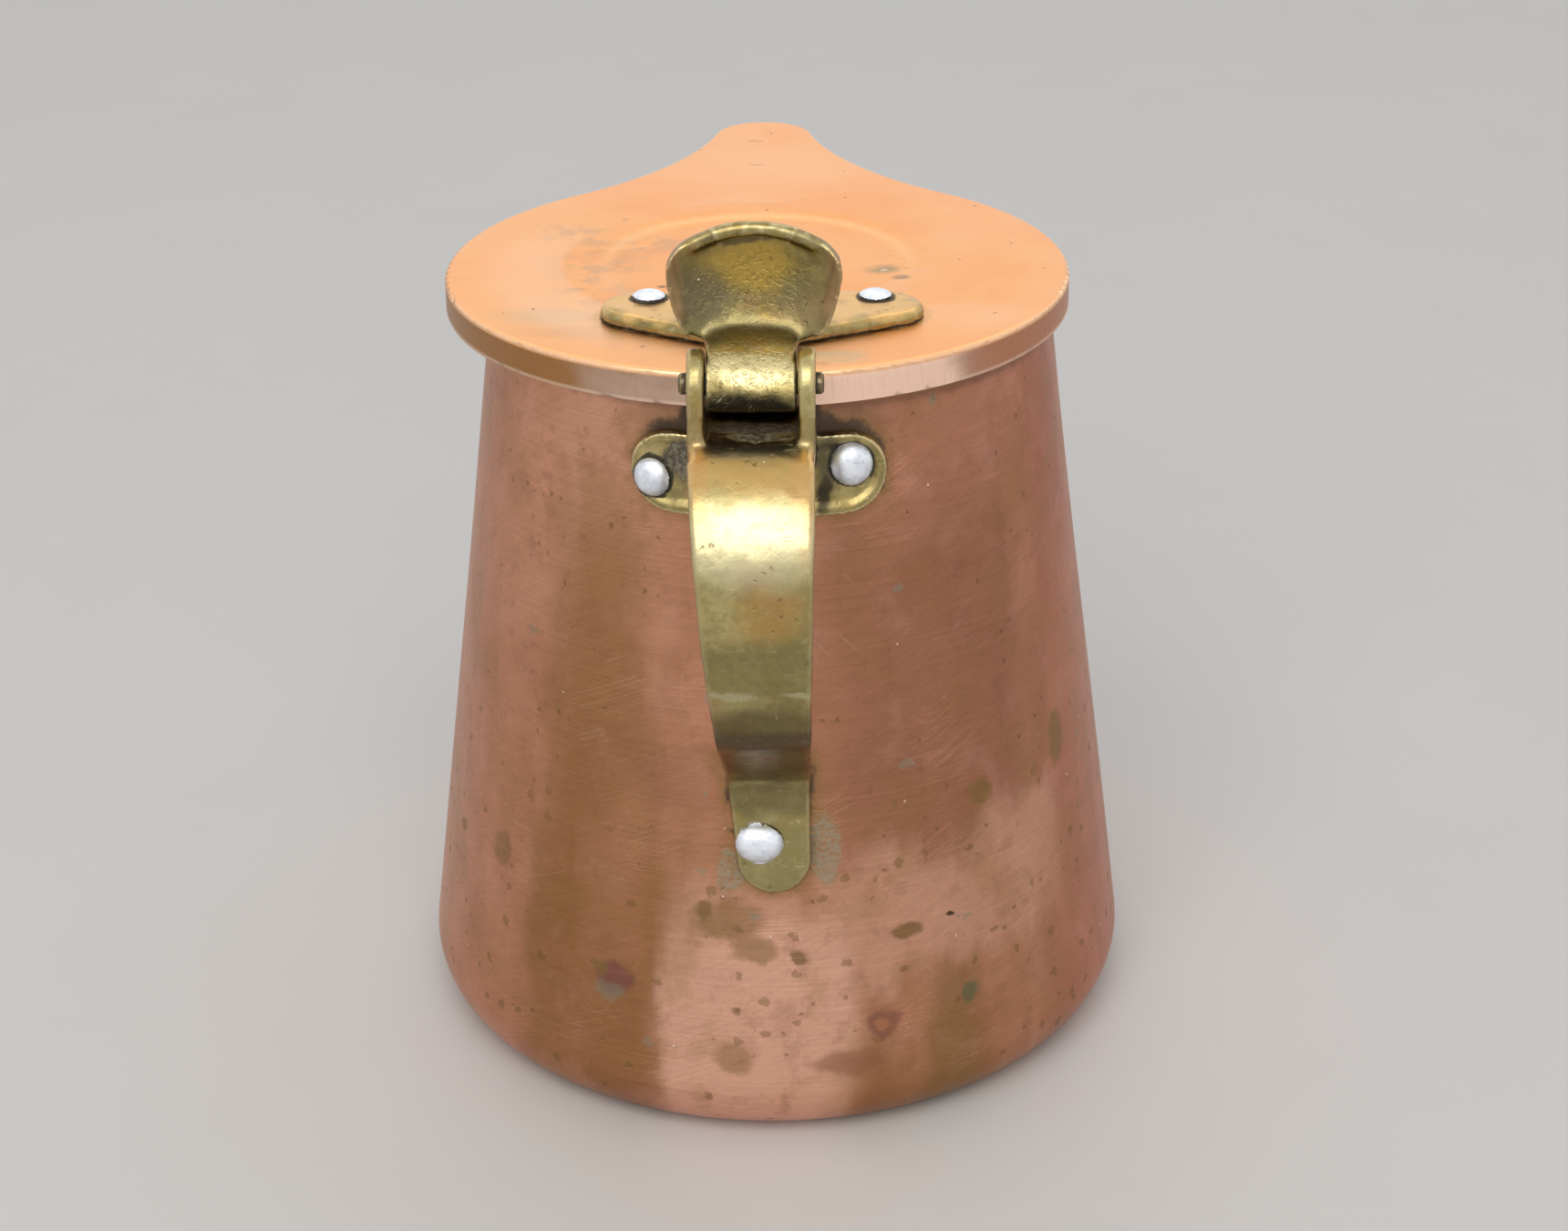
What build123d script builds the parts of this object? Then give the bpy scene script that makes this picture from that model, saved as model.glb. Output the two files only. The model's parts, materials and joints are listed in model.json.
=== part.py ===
from build123d import *
import os
from math import atan, cos, sin, sqrt

os.makedirs("parts", exist_ok=True)

# The frame: origin at the middle of the flat base, +Z up, the handle towards -Y, the spout towards +Y.
# All sizes are in millimetres.

# Vessel
base_radius = 61.1  # where the line of the wall meets the base plane
mouth_radius = 44.1  # the same line at the top of the rim
vessel_height = 125.8
corner_radius = 9.2
wall_sheet = 1.2
roll_radius = 1.5  # the rolled rim
roll_stand = 0.4  # how far the middle of the roll stands out from the wall

# Lid, with its skirt turned down all round
lid_sheet = 1.0
skirt_play = 0.3  # between the rolled rim and the skirt where they come closest
skirt_drop = 5.1
lid_gap = 0.3  # between the rim and the lid
lid_bend = 0.7  # the rounded top edge
beak_reach = 83.6
beak_tip = 8.8
beak_flare = 67.5
dish_inset = 25.2  # from the edge of the lid to the edge of the dish
dish_depth = 0.5
dish_slope = 2.4  # how wide the sloping ring of the dish is
hinge_shift = -2.0  # the whole lid and hinge sit this far to one side of the vessel's axis

# Spout, under the beak
spout_play = 0.4  # least gap to the skirt
spout_foot = 72.0  # height where the keel leaves the wall
spout_bury = 0.6  # how far the lowest section lies inside the wall line
spout_seam = 1.5  # how far its flanks run inside the wall line
spout_sheet = 1.1

# Hinge
pin_radius = 1.55
pin_fit = 0.05  # running clearance of the knuckle on the pin
pin_out = 5.5  # the pin beyond the edge of the lid
pin_rise = 0.7  # the middle of the pin above the top of the lid
pin_proud = 1.2
pin_chamfer = 0.35
knuckle_radius = 3.1
knuckle_width = 12.8
knuckle_play = 0.2  # on each side, to the lug
lug_radius = 5.0
lug_thickness = 2.5
lug_round = 0.7
saddle_gap = 3.95  # under the knuckle
knuckle_corner = 1.2  # its rounded lower edge
neck_arch = 8.0  # radius of the neck where it curls over the knuckle
arch_set = 3.7  # the middle of that curl, in from the pin
neck_turn = 70.0  # how far it curls before it runs straight on to the thumb piece

# Leaf on the lid, and thumb piece
leaf_thickness = 2.0
leaf_round = 1.4
leaf_shift = 1.1  # the wings sit this far to the right of the knuckle
wing_radius = 6.1
wing_spread = 18.4  # from the middle of the leaf to the middle of a wing's end
wing_inset = 25.2  # from the edge of the lid to the middle of a wing's end
neck_inset = 13.0  # from the edge of the lid to where the neck leaves the leaf
paddle_shift = 0.45  # the thumb piece sits this far to the right of the knuckle
paddle_height = 22.5  # above the lid, to the top of the lip
paddle_width = 24.9
paddle_hollow = 24.0  # radius of its hollow front
hollow_rise = 15.0  # height above the lid of the deepest place of the hollow
paddle_sheet = 2.2
paddle_inset = 2.4  # from the edge of the lid to the deepest place of the hollow
paddle_neck = 4.6  # height above the lid where it widens from the neck
paddle_root = 6.4  # height above the lid where it has widened to the root
paddle_root_width = 19.8
paddle_shoulder = 18.0  # height above the lid of the upper corners
paddle_bulge = 0.9  # how far its sides curve out between root and shoulder
paddle_corner = 5.0
paddle_root_bend = 3.0
lip_radius = 1.1
lip_width = 17.5
lip_forward = 1.5  # the middle of the lip before the hollow's deepest place
lip_droop = 2.4  # how far the lip's ends lie below its middle
lip_stand = 0.9  # the top of the lip above the plate behind it

# Handle
strap_thickness = 3.2
strap_round = 0.8
crown_radius = 18.0  # the outer bend at the top
crown_inset = 6.5  # middle of that bend, out from the edge of the lid
back_radius = 66.0
back_turn = 20.0
heel_radius = 14.0
heel_turn = 26.0
run_past = 8.5  # how far the inner line of the run below the heel is drawn on past the wall
foot_bend = 4.0
foot_width = 11.4
foot_side = 0.4
foot_drop = 82.4  # from the top of the lid down to the lower end of the foot
foot_thickness = 2.0
root_depth = 8.8  # height of the handle's root at the wall
root_run = 4.0  # how far the root's underside runs out from the wall
handle_bow = 0.25  # sideways bow of the strap towards -X
bow_drop = 30.1  # from the top of the lid down to the middle of the bow

# Bracket behind the root of the handle
bracket_sheet = 1.8
ear_shift = 0.65  # the ears sit this far to the right of the hinge
ear_half_width = 18.9
ear_height = 12.0
ear_drop = 16.6  # from the top of the lid down to the middle of the ears
ear_round = 0.6

# Rivets
lid_rivet_spread = 17.2
lid_rivet_inset = 27.5  # from the edge of the lid
lid_rivet_head = 2.65
lid_rivet_rise = 1.1
left_rivet_side = -14.3  # from the middle of the hinge
left_rivet_lift = -1.2  # above the middle of the ears
left_rivet_head = 3.05
right_rivet_side = 13.8
right_rivet_lift = 1.2
right_rivet_head = 3.3
bracket_rivet_rise = 1.9
foot_rivet_side = -1.7
foot_rivet_lift = 8.4  # above the lower end of the foot
foot_rivet_head = 3.8
foot_rivet_rise = 1.9
shank_radius = 1.6
inner_head = 2.6
inner_rise = 1.0
through = 10.0  # longer than any shank

# Worked out from the values above
wall_slope = (base_radius - mouth_radius) / vessel_height
wall_lean = atan(wall_slope)
roll_height = vessel_height - roll_radius
lid_under = vessel_height + lid_gap
lid_top = lid_under + lid_sheet
skirt_bottom = lid_top - skirt_drop
pin_z = lid_top + pin_rise
pin_bore = pin_radius + pin_fit
lug_inside = knuckle_width / 2 + knuckle_play
lug_outside = lug_inside + lug_thickness
saddle_height = pin_z - knuckle_radius - saddle_gap
ear_middle = lid_top - ear_drop
bow_height = lid_top - bow_drop
foot_bottom = lid_top - foot_drop
foot_rivet_height = foot_bottom + foot_rivet_lift
spout_inset = lid_sheet + spout_play + abs(hinge_shift)
far = 2 * (beak_reach + base_radius)  # longer than the jug, for cuts that go right through


def wall_radius(height):
    """Radius of the outside of the wall."""
    return base_radius - wall_slope * height


roll_middle = wall_radius(roll_height) + roll_stand
lid_radius = roll_middle + roll_radius + abs(hinge_shift) + skirt_play + lid_sheet
dish_radius = lid_radius - dish_inset
pin_y = -(lid_radius + pin_out)
crown_y = -(lid_radius + crown_inset)
lid_rivet_y = -(lid_radius - lid_rivet_inset)
root_y = -(wall_radius(saddle_height - root_depth) + root_run)
lug_seat = saddle_height - strap_thickness / 2
bracket_rivets = {
    "left": (hinge_shift + left_rivet_side, ear_middle + left_rivet_lift),
    "right": (hinge_shift + right_rivet_side, ear_middle + right_rivet_lift),
}
lid_rivets = {
    "left": (hinge_shift + leaf_shift - lid_rivet_spread, lid_rivet_y),
    "right": (hinge_shift + leaf_shift + lid_rivet_spread, lid_rivet_y),
}


def spouted_outline(circle, flare, tip, reach):
    """A circle with a beak towards +Y: a round tip, joined to the circle by two hollow flares."""
    tip_y = reach - tip
    flare_y = (tip_y**2 + (circle + flare) ** 2 - (tip + flare) ** 2) / (2 * tip_y)
    flare_x = sqrt((circle + flare) ** 2 - flare_y**2)
    on_circle = Vector(flare_x, flare_y) * (circle / (circle + flare))
    on_tip = Vector(0, tip_y) + Vector(flare_x, flare_y - tip_y) * (tip / (tip + flare))
    inwards = (on_circle + on_tip) * 0.5 - Vector(flare_x, flare_y)
    hollow = Vector(flare_x, flare_y) + inwards.normalized() * flare
    ThreePointArc((on_circle.X, on_circle.Y), (0, -circle), (-on_circle.X, on_circle.Y))
    ThreePointArc((-on_circle.X, on_circle.Y), (-hollow.X, hollow.Y), (-on_tip.X, on_tip.Y))
    ThreePointArc((-on_tip.X, on_tip.Y), (0, reach), (on_tip.X, on_tip.Y))
    ThreePointArc((on_tip.X, on_tip.Y), (hollow.X, hollow.Y), (on_circle.X, on_circle.Y))


def spout_form(inset):
    """The tapering beak below the lid, with its faces moved inwards by inset."""
    sections = (
        (spout_foot, wall_radius(spout_foot) - spout_bury),
        (vessel_height, beak_reach - spout_inset),
    )
    with BuildPart() as form:
        for height, reach in sections:
            with BuildSketch(Plane.XY.offset(height)):
                with BuildLine():
                    spouted_outline(
                        wall_radius(height) - spout_seam - inset,
                        beak_flare + spout_inset + inset,
                        beak_tip - spout_inset - inset,
                        reach - inset,
                    )
                make_face()
        loft(ruled=True)
    return form.part


def vessel_corner(inset):
    """The vessel's bottom corner before it is rounded, moved inwards by inset."""
    return (wall_radius(inset) - inset / cos(wall_lean), inset)


def vessel_section(inset):
    """Half of the vessel's outline, moved inwards by inset, with a sharp bottom corner."""
    top = (wall_radius(roll_height) - inset / cos(wall_lean), roll_height)
    Polygon((0, inset), vessel_corner(inset), top, (0, roll_height), align=None)


def wall_band(thickness, low=0.0, inside=0.0):
    """Half section of a layer on the outside of the wall, from the height low up to the lid."""
    Polygon(
        (wall_radius(low) - inside, low),
        (wall_radius(low) + thickness, low),
        (wall_radius(lid_top) + thickness, lid_top),
        (wall_radius(lid_top) - inside, lid_top),
        align=None,
    )


def rivet_plane(side, height, stand=0.0):
    """A plane square to the wall, at this distance from the YZ plane and this height."""
    radius = wall_radius(height)
    front = Vector(side, -sqrt(radius**2 - side**2), 0)
    outwards = front * (cos(wall_lean) / radius) + Vector(0, 0, sin(wall_lean))
    return Plane(origin=front + Vector(0, 0, height) + outwards * stand, z_dir=outwards)


def foot_plane(stand=0.0):
    """The same for the foot of the handle, whose face is flat across."""
    front = Vector(foot_rivet_side, -wall_radius(foot_rivet_height), foot_rivet_height)
    outwards = Vector(0, -cos(wall_lean), sin(wall_lean))
    return Plane(origin=front + outwards * stand, z_dir=outwards)


def inner_stand(height, side=0.0):
    """How far a rivet's flat inner head stands off the hollow wall, set this far aside of its normal."""
    return (inner_head + abs(side)) ** 2 / (2 * (wall_radius(height) - wall_sheet))


def rivet(plane, head, rise, grip):
    """A rivet through the grip below the plane: a domed head on it, a shank and a flat inner head."""
    with BuildPart() as piece:
        with BuildSketch(Plane.XZ):
            with BuildLine():
                Polyline(
                    (0, rise),
                    (0, -grip - inner_rise),
                    (inner_head - inner_rise / 2, -grip - inner_rise),
                    (inner_head, -grip - inner_rise / 2),
                    (inner_head, -grip),
                    (shank_radius, -grip),
                    (shank_radius, 0),
                    (head, 0),
                )
                RadiusArc((head, 0), (0, rise), -(head**2 + rise**2) / (2 * rise))
            make_face()
        revolve(axis=Axis.Z)
    return plane.location * piece.part


# All that lies inside the wall line, to cut the pieces that are set on the wall.
with BuildPart() as vessel_inside:
    with BuildSketch(Plane.XZ):
        Polygon(
            (0, 0),
            (base_radius, 0),
            (wall_radius(lid_top), lid_top),
            (0, lid_top),
            align=None,
        )
    revolve(axis=Axis.Z)

spout_outer = spout_form(0)
spout_inner = spout_form(spout_sheet)

# The spout: a beak of sheet set on the outside of the wall, level with the rim.
with BuildPart() as spout:
    add(spout_outer)
    add(spout_inner, mode=Mode.SUBTRACT)
    add(vessel_inside.part, mode=Mode.SUBTRACT)
spout.part.label = "spout"
export_step(spout.part, "parts/spout.step")

# The vessel: a spun cone with a round bottom edge, its rim rolled outwards and opened at the spout.
with BuildPart() as body:
    with BuildSketch(Plane.XZ) as outside:
        vessel_section(0)
        fillet(outside.vertices().sort_by_distance(vessel_corner(0))[0], corner_radius)
    revolve(axis=Axis.Z)
    with BuildSketch(Plane.XZ) as inside:
        vessel_section(wall_sheet)
        fillet(inside.vertices().sort_by_distance(vessel_corner(wall_sheet))[0], corner_radius - wall_sheet)
    revolve(axis=Axis.Z, mode=Mode.SUBTRACT)
    with BuildSketch(Plane.XZ):
        with Locations((roll_middle, roll_height)):
            Circle(roll_radius)
    revolve(axis=Axis.Z)
    add(spout_inner, mode=Mode.SUBTRACT)
    add(spout.part, mode=Mode.SUBTRACT)
    for side, height in bracket_rivets.values():
        with BuildSketch(rivet_plane(side, height)):
            Circle(shank_radius)
        extrude(amount=through, both=True, mode=Mode.SUBTRACT)
    with BuildSketch(foot_plane()):
        Circle(shank_radius)
    extrude(amount=through, both=True, mode=Mode.SUBTRACT)
body.part.label = "body"
export_step(body.part, "parts/body.step")

# The lid: a flat sheet with its skirt turned down, and a shallow dish pressed into its middle.
with BuildPart() as lid:
    with BuildSketch(Plane(origin=(hinge_shift, 0, skirt_bottom))):
        with BuildLine():
            spouted_outline(lid_radius, beak_flare, beak_tip, beak_reach)
        make_face()
    extrude(amount=skirt_drop)
    fillet(lid.faces().sort_by(Axis.Z)[-1].edges(), lid_bend)
    with BuildSketch(Plane(origin=(hinge_shift, 0, skirt_bottom))):
        with BuildLine():
            spouted_outline(
                lid_radius - lid_sheet,
                beak_flare + lid_sheet,
                beak_tip - lid_sheet,
                beak_reach - lid_sheet,
            )
        make_face()
    extrude(amount=skirt_drop - lid_sheet, mode=Mode.SUBTRACT)
    for height, dish_mode in ((lid_under, Mode.ADD), (lid_top, Mode.SUBTRACT)):
        with BuildSketch(Plane(origin=(hinge_shift, 0, height))):
            Circle(dish_radius)
        with BuildSketch(Plane(origin=(hinge_shift, 0, height - dish_depth))):
            Circle(dish_radius - dish_slope)
        loft(mode=dish_mode)
    with BuildSketch(Plane.XY.offset(lid_under)):
        with Locations(*lid_rivets.values()):
            Circle(shank_radius)
    extrude(amount=through, both=True, mode=Mode.SUBTRACT)
lid.part.label = "lid"
export_step(lid.part, "parts/lid.step")

# The bracket: a plate curved to the wall, with an ear on each side of the handle and a tab behind its root.
with BuildPart() as handle_bracket:
    with BuildSketch(Plane.XZ):
        with Locations((hinge_shift + ear_shift, ear_middle)):
            SlotOverall(2 * ear_half_width, ear_height)
        with Locations((hinge_shift, saddle_height)):
            Rectangle(2 * lug_outside, saddle_height - ear_middle, align=(Align.CENTER, Align.MAX))
    extrude(amount=far)
    with BuildSketch(Plane.XZ):
        wall_band(bracket_sheet)
    revolve(axis=Axis.Z, mode=Mode.INTERSECT)
    ears = handle_bracket.faces().filter_by(GeomType.CONE).sort_by(SortBy.AREA)[-1]
    fillet(ears.edges(), ear_round)
    for side, height in bracket_rivets.values():
        with BuildSketch(rivet_plane(side, height)):
            Circle(shank_radius)
        extrude(amount=through, both=True, mode=Mode.SUBTRACT)
handle_bracket.part.label = "handle_bracket"
export_step(handle_bracket.part, "parts/handle_bracket.step")

# The two lugs of the handle, one each side of the knuckle, with their edges rounded.
with BuildPart() as lugs:
    for sign in (-1, 1):
        with BuildSketch(Plane.YZ.offset(hinge_shift + sign * lug_inside)):
            with Locations((pin_y, pin_z)):
                Circle(lug_radius)
                Rectangle(2 * lug_radius, pin_z - lug_seat, align=(Align.CENTER, Align.MAX))
        extrude(amount=sign * lug_thickness)
    fillet(lugs.faces().filter_by(Axis.X).edges().filter_by(Axis.Y, reverse=True), lug_round)

# The handle: a strap with crown, back, heel and foot seen from the side, cut to its front view, and lugs.
foot_round = foot_bottom + foot_width / 2
bow_share = (bow_height - foot_round) / (saddle_height - foot_round)
bow_middle = foot_side + (hinge_shift - foot_side) * bow_share - handle_bow
bow_half = foot_width / 2 + (lug_outside - foot_width / 2) * bow_share
with BuildPart() as handle:
    with BuildSketch(Plane.YZ) as strap_side:
        with BuildLine():
            top = Line((0, saddle_height), (crown_y, saddle_height))
            crown = JernArc(top @ 1, (-1, 0), crown_radius, 90)
            back = JernArc(crown @ 1, crown % 1, back_radius, back_turn)
            heel = JernArc(back @ 1, back % 1, heel_radius, heel_turn)
            fall = heel % 1
            reach_in = -((heel @ 1).X + wall_radius((heel @ 1).Y) + foot_thickness)
            run_length = reach_in / (fall.X - wall_slope * fall.Y)
            run = Line(heel @ 1, heel @ 1 + fall * run_length)
            foot = Line(run @ 1, (-wall_radius(foot_bottom) - foot_thickness, foot_bottom))
            Polyline(foot @ 1, (0, foot_bottom), (0, saddle_height))
        make_face()
        fillet(strap_side.vertices().sort_by_distance(run @ 1)[0], foot_bend)
        with BuildLine():
            under_root = Line((0, saddle_height - root_depth), (root_y, saddle_height - root_depth))
            under_crown = Line(under_root @ 1, (crown_y, saddle_height - strap_thickness))
            crown_inside = JernArc(under_crown @ 1, (-1, 0), crown_radius - strap_thickness, 90)
            inner_back, inner_heel = back_radius - strap_thickness, heel_radius - strap_thickness
            back_inside = JernArc(crown_inside @ 1, crown_inside % 1, inner_back, back_turn)
            heel_inside = JernArc(back_inside @ 1, back_inside % 1, inner_heel, heel_turn)
            run_inside = Line(heel_inside @ 1, heel_inside @ 1 + fall * (run_length + run_past))
            Polyline(run_inside @ 1, (0, (run_inside @ 1).Y), (0, saddle_height - root_depth))
        make_face(mode=Mode.SUBTRACT)
    extrude(amount=far, both=True)
    with BuildSketch(Plane.XZ):
        with BuildLine():
            right = ThreePointArc(
                (hinge_shift + lug_outside, saddle_height),
                (bow_middle + bow_half, bow_height),
                (foot_side + foot_width / 2, foot_round),
            )
            foot_left = foot_side - foot_width / 2
            tab = ThreePointArc(right @ 1, (foot_side, foot_bottom), (foot_left, foot_round))
            left = ThreePointArc(
                tab @ 1,
                (bow_middle - bow_half, bow_height),
                (hinge_shift - lug_outside, saddle_height),
            )
            Line(left @ 1, right @ 0)
        make_face()
    extrude(amount=far, mode=Mode.INTERSECT)
    add(lugs.part)
    with BuildSketch(Plane.YZ.offset(hinge_shift)):
        with Locations((pin_y, pin_z)):
            Circle(pin_radius)
    extrude(amount=through, both=True, mode=Mode.SUBTRACT)
    add(vessel_inside.part, mode=Mode.SUBTRACT)
    with BuildSketch(Plane.XZ):
        wall_band(bracket_sheet, ear_middle - ear_height, wall_sheet)
    revolve(axis=Axis.Z, mode=Mode.SUBTRACT)
    with BuildSketch(foot_plane()):
        Circle(shank_radius)
    extrude(amount=through, both=True, mode=Mode.SUBTRACT)
    back_face = handle.faces().filter_by(GeomType.CYLINDER).sort_by(Axis.Y)[0]
    fillet(back_face.edges().filter_by(Axis.X, reverse=True), strap_round)
handle.part.label = "handle"
export_step(handle.part, "parts/handle.step")

# The thumb piece: a plate, hollow towards the handle like the bowl of a spoon, with a rolled lip on top.
paddle_side = hinge_shift + paddle_shift
paddle_front = Plane(origin=(paddle_side, 0, lid_top), x_dir=(1, 0, 0), z_dir=(0, -1, 0))
hollow_y = -(lid_radius - paddle_inset)
hollow_middle = (paddle_side, hollow_y - paddle_hollow, lid_top + hollow_rise)
lip_low = paddle_height - lip_radius - lip_droop
with BuildPart() as paddle:
    with BuildSketch(paddle_front) as outline:
        with BuildLine():
            root_half, neck_half = paddle_root_width / 2, knuckle_width / 2 - paddle_shift
            side_half = (root_half + paddle_width / 2) / 2 + paddle_bulge
            side_height = (paddle_root + paddle_shoulder) / 2
            right_root = Polyline((neck_half, 0), (neck_half, paddle_neck), (root_half, paddle_root))
            right_side = ThreePointArc(
                right_root @ 1,
                (side_half, side_height),
                (paddle_width / 2, paddle_shoulder),
            )
            crest_top = (0, paddle_height - lip_stand)
            crest = ThreePointArc(right_side @ 1, crest_top, (-paddle_width / 2, paddle_shoulder))
            left_side = ThreePointArc(crest @ 1, (-side_half, side_height), (-root_half, paddle_root))
            left_root = Polyline(left_side @ 1, (-neck_half, paddle_neck), (-neck_half, 0))
            Line(left_root @ 1, right_root @ 0)
        make_face()
        shoulders = outline.vertices().group_by(Axis.Y)[-1]
        roots = outline.vertices().group_by(Axis.Y)[-2]
        fillet(shoulders, paddle_corner)
        fillet(roots, paddle_root_bend)
    extrude(amount=-hollow_middle[1])
    with Locations(hollow_middle):
        Sphere(paddle_hollow + paddle_sheet, mode=Mode.INTERSECT)
        Sphere(paddle_hollow, mode=Mode.SUBTRACT)
    with BuildLine(paddle_front.offset(lip_forward - hollow_y)) as lip:
        lip_bend = ThreePointArc(
            (lip_width / 2, lip_low),
            (0, paddle_height - lip_radius),
            (-lip_width / 2, lip_low),
        )
    with BuildSketch(Plane(origin=lip_bend @ 0, z_dir=lip_bend % 0)):
        Circle(lip_radius)
    sweep(path=lip.line)
    with Locations(lip_bend @ 0, lip_bend @ 1):
        Sphere(lip_radius)

# The thumb lever: the leaf on the lid, the neck and knuckle round the pin, and the thumb piece, in one.
with BuildPart() as thumb_lever:
    with BuildSketch(Plane(origin=(hinge_shift + leaf_shift, 0, lid_top))) as leaf:
        neck_y = -(lid_radius - neck_inset)
        wing_y = -(lid_radius - wing_inset)
        with Locations((-wing_spread, wing_y), (wing_spread, wing_y)):
            Circle(wing_radius)
        with Locations((-leaf_shift, neck_y)):
            Rectangle(knuckle_width, leaf_thickness)
        make_hull(leaf.edges())
    extrude(amount=leaf_thickness)
    fillet(thumb_lever.faces().sort_by(Axis.Z)[-1].edges(), leaf_round)
    with BuildSketch(Plane.YZ.offset(hinge_shift)) as neck_side:
        with BuildLine():
            knuckle_bottom = pin_z - knuckle_radius
            arch = JernArc((pin_y + arch_set - neck_arch, knuckle_bottom), (0, 1), neck_arch, -neck_turn)
            neck_run = (hollow_y + paddle_sheet / 2 - (arch @ 1).X) / (arch % 1).X
            slope = Line(arch @ 1, arch @ 1 + (arch % 1) * neck_run)
            Polyline(
                slope @ 1,
                ((slope @ 1).X, lid_top + leaf_thickness),
                (neck_y, lid_top + leaf_thickness),
                (neck_y, lid_top),
                (pin_y, lid_top),
                (pin_y, knuckle_bottom),
                arch @ 0,
            )
        make_face()
        fillet(neck_side.vertices().sort_by_distance(arch @ 0)[0], knuckle_corner)
        with Locations((pin_y, pin_z)):
            Circle(knuckle_radius)
    extrude(amount=knuckle_width / 2, both=True)
    add(paddle.part)
    with BuildSketch(Plane.YZ.offset(hinge_shift)):
        with Locations((pin_y, pin_z)):
            Circle(pin_bore)
    extrude(amount=through, both=True, mode=Mode.SUBTRACT)
    with BuildSketch(Plane.XY.offset(lid_top)):
        with Locations(*lid_rivets.values()):
            Circle(shank_radius)
    extrude(amount=through, both=True, mode=Mode.SUBTRACT)
thumb_lever.part.label = "thumb_lever"
export_step(thumb_lever.part, "parts/thumb_lever.step")

# The hinge pin, standing proud of the lugs at both ends.
with BuildPart() as hinge_pin:
    with BuildSketch(Plane.YZ.offset(hinge_shift)):
        with Locations((pin_y, pin_z)):
            Circle(pin_radius)
    extrude(amount=lug_outside + pin_proud, both=True)
    chamfer(hinge_pin.edges().filter_by(GeomType.CIRCLE), pin_chamfer)
hinge_pin.part.label = "hinge_pin"
export_step(hinge_pin.part, "parts/hinge_pin.step")

# The rivets, each through the two sheets that it holds.
lid_grip = leaf_thickness + lid_sheet
foot_stand = foot_thickness * cos(wall_lean)
foot_grip = foot_stand + wall_sheet + inner_stand(foot_rivet_height, foot_rivet_side)
rivets = {}
for name, (side, distance) in lid_rivets.items():
    on_leaf = Plane(origin=(side, distance, lid_top + leaf_thickness))
    rivets["lid_rivet_" + name] = rivet(on_leaf, lid_rivet_head, lid_rivet_rise, lid_grip)
for name, head in (("left", left_rivet_head), ("right", right_rivet_head)):
    side, height = bracket_rivets[name]
    on_ear = rivet_plane(side, height, bracket_sheet)
    bracket_grip = bracket_sheet + wall_sheet + inner_stand(height)
    rivets["bracket_rivet_" + name] = rivet(on_ear, head, bracket_rivet_rise, bracket_grip)
on_foot = foot_plane(foot_stand)
rivets["foot_rivet"] = rivet(on_foot, foot_rivet_head, foot_rivet_rise, foot_grip)
for name, piece in rivets.items():
    piece.label = name
    export_step(piece, f"parts/{name}.step")
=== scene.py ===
import bpy
import bmesh
import json
from math import cos, hypot, pi, radians, sin
from mathutils import Matrix, Vector, noise
from mathutils.bvhtree import BVHTree

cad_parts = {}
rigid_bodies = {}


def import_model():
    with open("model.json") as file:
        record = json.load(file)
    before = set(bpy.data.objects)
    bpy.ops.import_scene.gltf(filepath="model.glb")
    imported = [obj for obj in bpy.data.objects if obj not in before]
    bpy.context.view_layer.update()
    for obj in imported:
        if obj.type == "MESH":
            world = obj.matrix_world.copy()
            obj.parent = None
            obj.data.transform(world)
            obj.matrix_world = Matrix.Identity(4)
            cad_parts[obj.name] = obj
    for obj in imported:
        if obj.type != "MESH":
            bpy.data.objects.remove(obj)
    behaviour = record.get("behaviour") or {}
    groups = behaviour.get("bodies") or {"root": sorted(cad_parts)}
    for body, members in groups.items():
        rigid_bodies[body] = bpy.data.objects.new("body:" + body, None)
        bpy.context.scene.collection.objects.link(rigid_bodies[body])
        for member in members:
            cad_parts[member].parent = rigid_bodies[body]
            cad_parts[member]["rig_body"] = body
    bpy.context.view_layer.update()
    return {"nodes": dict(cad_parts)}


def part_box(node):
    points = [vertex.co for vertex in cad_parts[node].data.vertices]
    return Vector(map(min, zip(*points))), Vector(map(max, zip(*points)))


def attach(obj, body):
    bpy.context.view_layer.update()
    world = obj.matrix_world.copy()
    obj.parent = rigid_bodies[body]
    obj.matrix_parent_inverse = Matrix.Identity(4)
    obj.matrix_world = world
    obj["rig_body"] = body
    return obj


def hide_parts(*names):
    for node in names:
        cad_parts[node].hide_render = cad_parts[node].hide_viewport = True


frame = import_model()
mm = 0.001
print("frame loaded")


# camera, set from the ellipse of the lid, the two sides of the wall and the bottom edge in the photograph
cameraSet = {
    "focal": 62.8,  # mm on a 36 mm sensor
    "distance": 462.7 * mm,
    "elevation": 25.74,
    "turn": 0.6,
    "roll": -0.53,
    "target": Vector((1.75 * mm, 0, 64.9 * mm)),
}


def placeCamera(given):
    up = radians(given["elevation"])
    back = Vector((0, -cos(up), sin(up)))
    tilt = Matrix.Rotation(pi / 2 - up, 4, "X") @ Matrix.Rotation(radians(given["roll"]), 4, "Z")
    spin = Matrix.Rotation(radians(given["turn"]), 4, "Z")
    camera = bpy.data.objects.new("camera", bpy.data.cameras.new("camera"))
    camera.data.lens = given["focal"]
    camera.data.sensor_width = 36
    camera.data.clip_start = 0.01
    camera.matrix_world = spin @ Matrix.Translation(given["target"] + back * given["distance"]) @ tilt
    bpy.context.scene.collection.objects.link(camera)
    bpy.context.scene.camera = camera


placeCamera(cameraSet)
bpy.context.scene.view_settings.view_transform = "Standard"
print("camera placed")


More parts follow.
